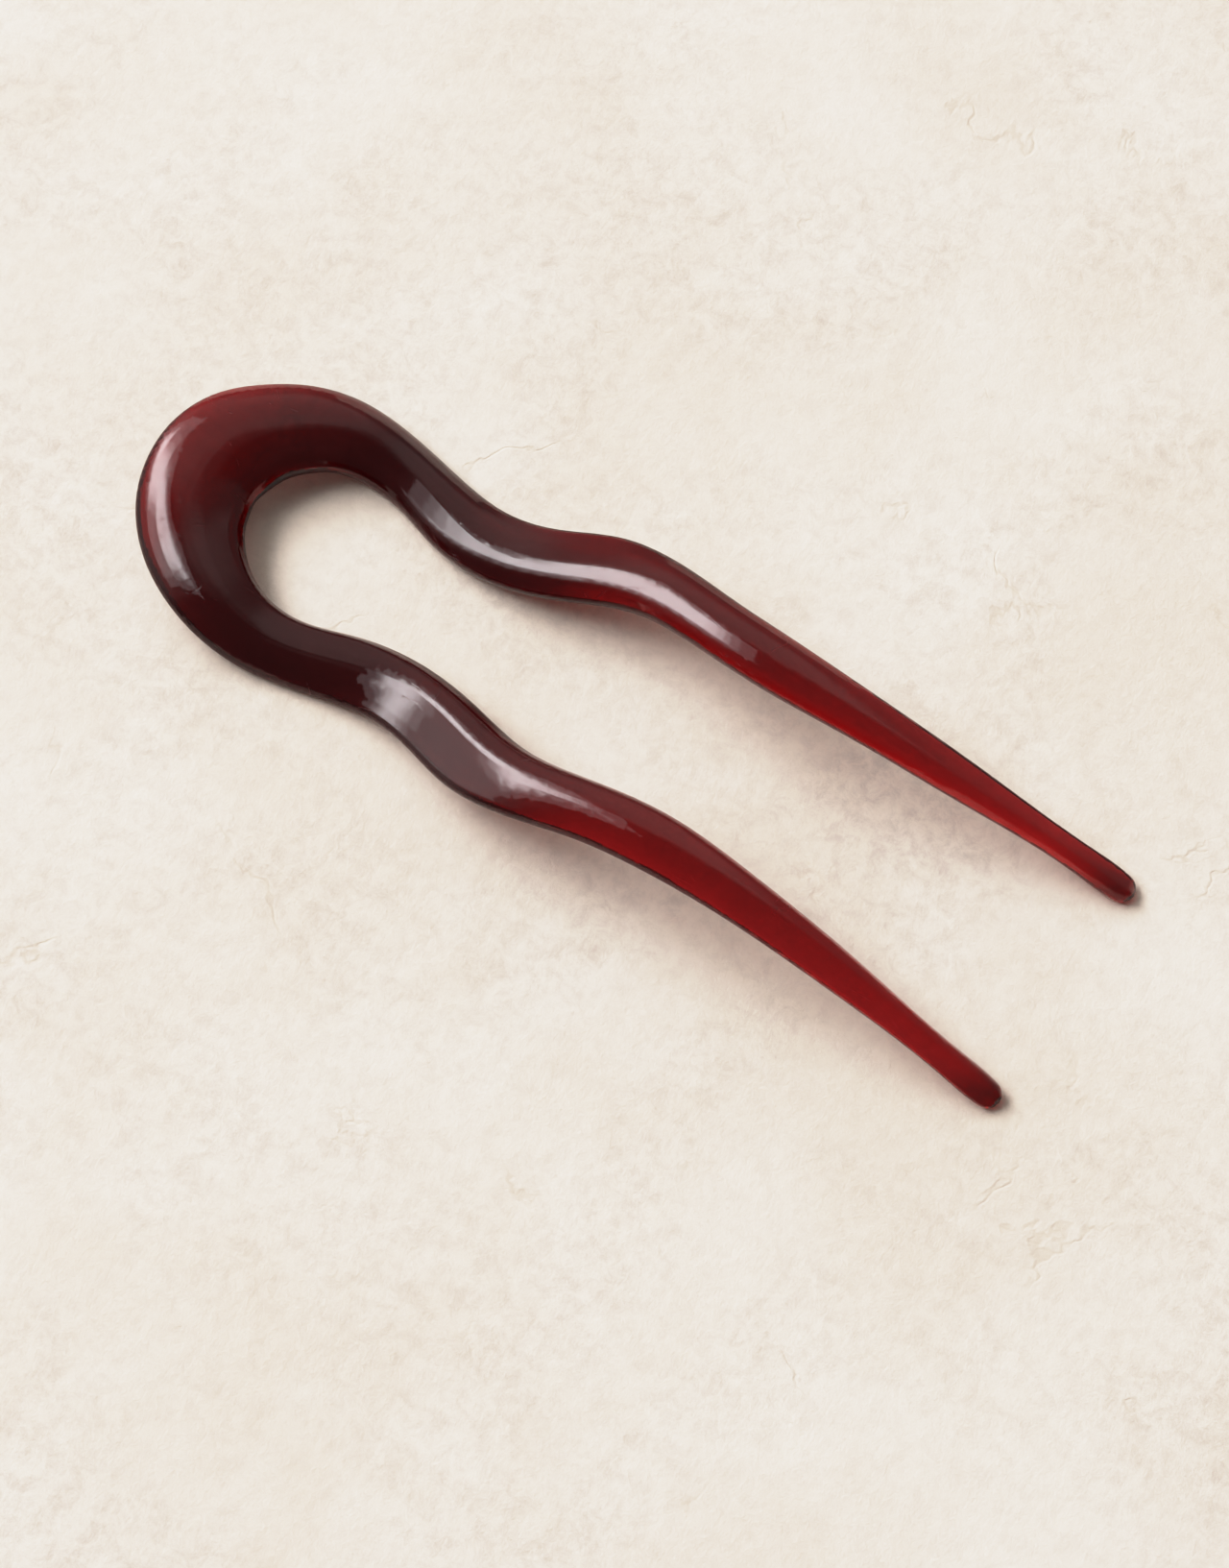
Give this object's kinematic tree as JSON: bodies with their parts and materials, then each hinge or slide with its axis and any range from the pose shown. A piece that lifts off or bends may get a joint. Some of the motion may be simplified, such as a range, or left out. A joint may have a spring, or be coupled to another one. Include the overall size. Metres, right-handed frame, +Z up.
{
  "type": "french hair pin",
  "caption": "French hair pin: a broad looped crown running into two waved legs that taper to rounded tips, bowed along its length to follow the head and hold a twist of hair.",
  "frame": {"origin": "under the middle of the pin, on the surface that it rests on", "axes": "+X along the pin from the crown towards the leg tips, +Z up, out of the surface that it rests on; the two sides of Y = 0 mirror each other"},
  "size_m": [0.1268, 0.0384, 0.0133],
  "materials": {
    "acetate": "tumbled gloss, translucent dark cherry"
  },
  "bodies": {
    "root": {"hair_pin": "acetate"}
  },
  "joints": []
}
